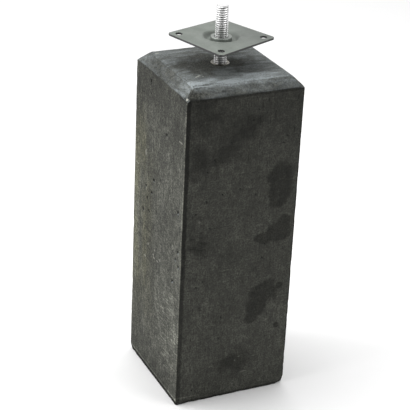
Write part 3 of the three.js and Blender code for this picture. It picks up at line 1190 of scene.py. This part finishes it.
# Grease and painted shade in the thread's grooves
zinc.coat(zinc.times(in_groove, on_thread, GROOVE_GREASE_AND_SHADE_SHARE), GROOVE_GREASE_AND_SHADE)
finish_piece(bar, "screw_rod", zinc.done(), "pier", "threaded_rod", THREAD_SHARP)

# %% [markdown]
# ## The socket in the concrete
#
# Only the rim of the socket shows, a ring round the rod that stands a little above the concrete. A closed
# profile with small bevels is spun once round. Inside the mouth it drops, so that a dark line stays round
# the rod.

# %% Socket
SOCKET_TOP = SOCKET_HIGH.z
ROD_CLEARANCE = 0.5 * MM
SOCKET_BORE = ROD_RADIUS + ROD_CLEARANCE
SOCKET_SHOWN = 14 * MM
SOCKET_RIM_BEVEL = 0.4 * MM
SOCKET_MOUTH_BEVEL = 1.3 * MM
ROUND_STEPS = 96
TURNED_SHARP = math.radians(35)


def socket_ring():
    shape = bmesh.new()
    foot = SOCKET_TOP - SOCKET_SHOWN
    profile = [
        (SOCKET_BORE, foot),
        (SOCKET_RADIUS, foot),
        (SOCKET_RADIUS, SOCKET_TOP - SOCKET_RIM_BEVEL),
        (SOCKET_RADIUS - SOCKET_RIM_BEVEL, SOCKET_TOP),
        (SOCKET_BORE + SOCKET_MOUTH_BEVEL, SOCKET_TOP),
        (SOCKET_BORE, SOCKET_TOP - SOCKET_MOUTH_BEVEL),
    ]
    spin_profile(shape, profile, ROUND_STEPS, True)
    return shape


stained = make_steel(
    "socket_steel", pale=(0.34, 0.327, 0.285, 1.0), dark=(0.13, 0.125, 0.105, 1.0), cloud_scale=220.0,
    smooth=0.28, rough=0.45, metallic=1.0,
)
finish_piece(
    socket_ring(), "socket_rim", stained.done(), "pier", "threaded_socket", TURNED_SHARP
)

# %% [markdown]
# ## The adjusting plate
#
# The plate is sheet steel: cut square with rounded corners, drilled at the corners, and pressed into a
# shallow dish round the rod. The dish is a spun profile that follows a smooth step, the flat part is filled
# between the outlines, and solidify gives the sheet its thickness.

# %% Adjusting plate: outline and dish
PLATE_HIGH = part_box("adjusting_plate")[1]
PLATE_TOP = PLATE_HIGH.z
PLATE_SIDE = 108 * MM
PLATE_CORNER = 6 * MM
CORNER_SEGMENTS = 8
SCREW_HOLE_RADIUS = 5 * MM
SCREW_HOLE_OUT = 42 * MM
SCREW_HOLE_SEGMENTS = 32
DISH_FLOOR_RADIUS = 19 * MM
DISH_RIM_RADIUS = 28 * MM
DISH_EDGE_RADIUS = 32 * MM
DISH_DEPTH = 6 * MM
DISH_STEPS = 14
ROD_HOLE_CLEARANCE = 1 * MM
ROD_HOLE_RADIUS = ROD_RADIUS + ROD_HOLE_CLEARANCE


def smooth_step(low, high, value):
    share = min(1.0, max(0.0, (value - low) / (high - low)))
    return share * share * (3.0 - 2.0 * share)


def dish_profile():
    profile = [(ROD_HOLE_RADIUS, -DISH_DEPTH)]
    for count in range(DISH_STEPS + 1):
        radius = DISH_FLOOR_RADIUS + (DISH_RIM_RADIUS - DISH_FLOOR_RADIUS) * count / DISH_STEPS
        rise = smooth_step(DISH_FLOOR_RADIUS, DISH_RIM_RADIUS, radius)
        profile.append((radius, -DISH_DEPTH * (1.0 - rise)))
    profile.append((DISH_EDGE_RADIUS, 0.0))
    return profile


def plate_outline(shape):
    """The edges of the square with rounded corners and of the screw holes."""
    known = set(shape.edges)
    square = bmesh.ops.create_grid(shape, x_segments=1, y_segments=1, size=PLATE_SIDE / 2)["verts"]
    bmesh.ops.bevel(
        shape, geom=square, offset=PLATE_CORNER, offset_type="OFFSET", segments=CORNER_SEGMENTS,
        profile=0.5, affect="VERTICES", material=-1,
    )
    sheet = [face for face in shape.faces if not known.intersection(face.edges)]
    bmesh.ops.delete(shape, geom=sheet, context="FACES_ONLY")
    for x in (-SCREW_HOLE_OUT, SCREW_HOLE_OUT):
        for y in (-SCREW_HOLE_OUT, SCREW_HOLE_OUT):
            bmesh.ops.create_circle(
                shape, segments=SCREW_HOLE_SEGMENTS, radius=SCREW_HOLE_RADIUS,
                matrix=Matrix.Translation((x, y, 0.0)),
            )
    return [edge for edge in shape.edges if edge not in known]


print("dish profile has", len(dish_profile()), "points")

# %% [markdown]
# ## The adjusting plate: thickness and bent corners
#
# A press leaves a sheet a little twisted, so the corners are bent by up to three millimetres outside the dish.
# The bend comes last, after the thickness and the rounded rim, because those two need a flat sheet.

# %% Adjusting plate: the sheet
PLATE_TURN = math.radians(20)
PLATE_THICKNESS = 3 * MM
PLATE_RIM_ROUNDING = 0.35 * MM
PLATE_RIM_SEGMENTS = 2
PLATE_RIM_BEND = 1.0
PLATE_TILT_U = 0.017
PLATE_TILT_V = 0.014
PLATE_TWIST = 1.1 * MM
SHEET_SHARP = math.radians(15)


def bent(place):
    """How far the pressed sheet stands out of its plane."""
    half = PLATE_SIDE / 2
    outside = smooth_step(DISH_RIM_RADIUS, half, place.xy.length)
    twist = PLATE_TWIST * place.x * place.y / (half * half)
    return outside * (PLATE_TILT_U * place.x + PLATE_TILT_V * place.y - twist)


def pressed_plate():
    shape = bmesh.new()
    spin_profile(shape, dish_profile(), ROUND_STEPS, False)
    dish_rim = [
        edge for edge in shape.edges
        if edge.is_boundary and all(vert.co.xy.length > DISH_RIM_RADIUS for vert in edge.verts)
    ]
    outline = plate_outline(shape)
    bmesh.ops.triangle_fill(shape, use_beauty=True, use_dissolve=False, edges=outline + dish_rim)
    bmesh.ops.recalc_face_normals(shape, faces=shape.faces)
    if sum(face.normal.z * face.calc_area() for face in shape.faces) < 0:
        bmesh.ops.reverse_faces(shape, faces=shape.faces)
    bmesh.ops.solidify(shape, geom=shape.faces[:], thickness=PLATE_THICKNESS)
    round_edges(shape, sharp_edges(shape, PLATE_RIM_BEND), PLATE_RIM_ROUNDING, PLATE_RIM_SEGMENTS)
    for vert in shape.verts:
        vert.co.z += bent(vert.co)
    return shape


plate = pressed_plate()
plate_heights = [vert.co.z for vert in plate.verts]
print("plate reaches from", round(min(plate_heights) / MM, 2), "to", round(max(plate_heights) / MM, 2), "mm")
bmesh.ops.rotate(plate, cent=(0, 0, 0), matrix=Matrix.Rotation(PLATE_TURN, 3, "Z"), verts=plate.verts)
bmesh.ops.translate(plate, vec=(0, 0, PLATE_TOP), verts=plate.verts)

# %% [markdown]
# ## Galvanised sheet
#
# Hot zinc leaves the plate a matt grey with a little green in it. The right half is darkened with painted
# shade, and the sheared edges are darker than the flat, partly bare cut steel and partly painted shade. The
# zinc lies like a thin paint, so the finish is mostly not metallic. The right half is a smooth step along X,
# and the edges are the faces that point neither up nor down.

# %% Galvanised sheet
SHADED_ZINC = (0.103, 0.114, 0.104, 1.0)
RIGHT_HALF_SHADE_SHARE = 0.75
CUT_EDGE_AND_SHADE = grey(0.028)
CUT_EDGE_FACING = (0.5, 0.8)

galvanised = make_steel(
    "galvanised_sheet", pale=(0.174, 0.194, 0.172, 1.0), dark=(0.139, 0.157, 0.139, 1.0), cloud_scale=45.0,
    smooth=0.50, rough=0.65, metallic=0.2,
)
# Painted shade on the right half of the plate
right_half = galvanised.rise(galvanised.x, -5, 60)
galvanised.coat(galvanised.times(right_half, RIGHT_HALF_SHADE_SHARE), SHADED_ZINC)
# Sheared edges: bare cut steel, darkened further with painted shade
upright_facing = add_math(galvanised.tree, "ABSOLUTE", galvanised.facing["Z"])
galvanised.coat(galvanised.fall(upright_facing, *CUT_EDGE_FACING), CUT_EDGE_AND_SHADE)
finish_piece(
    plate, "post_plate", galvanised.done(), "post_plate", "adjusting_plate", SHEET_SHARP
)

# %% [markdown]
# ## The collar
#
# A short threaded collar stands in the dish, level with the plate's top, and carries the plate on the rod. It
# is turned steel: a spun profile with a rounded shoulder, worn brighter than the sheet round it.

# %% Collar
COLLAR_LOW, COLLAR_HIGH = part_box("plate_collar")
COLLAR_WIDTH = 30.5 * MM
COLLAR_RADIUS = COLLAR_WIDTH / 2
COLLAR_TOP = COLLAR_HIGH.z
COLLAR_FOOT = COLLAR_LOW.z
COLLAR_ROUNDING = 1.2 * MM
COLLAR_BEVEL = 1.0 * MM
ROUNDING_STEPS = 5


def collar_ring():
    shape = bmesh.new()
    profile = [(SOCKET_BORE, COLLAR_FOOT), (COLLAR_RADIUS, COLLAR_FOOT)]
    for count in range(ROUNDING_STEPS + 1):
        angle = math.pi / 2 * count / ROUNDING_STEPS
        profile.append((
            COLLAR_RADIUS - COLLAR_ROUNDING * (1 - math.cos(angle)),
            COLLAR_TOP - COLLAR_ROUNDING * (1 - math.sin(angle)),
        ))
    profile.append((SOCKET_BORE + COLLAR_BEVEL, COLLAR_TOP))
    profile.append((SOCKET_BORE, COLLAR_TOP - COLLAR_BEVEL))
    spin_profile(shape, profile, ROUND_STEPS, True)
    return shape


worn = make_steel(
    "collar_steel", pale=(0.28, 0.30, 0.28, 1.0), dark=(0.19, 0.206, 0.19, 1.0), cloud_scale=150.0,
    smooth=0.30, rough=0.45, metallic=0.6,
)
finish_piece(
    collar_ring(), "threaded_collar", worn.done(), "post_plate", "plate_collar", TURNED_SHARP
)
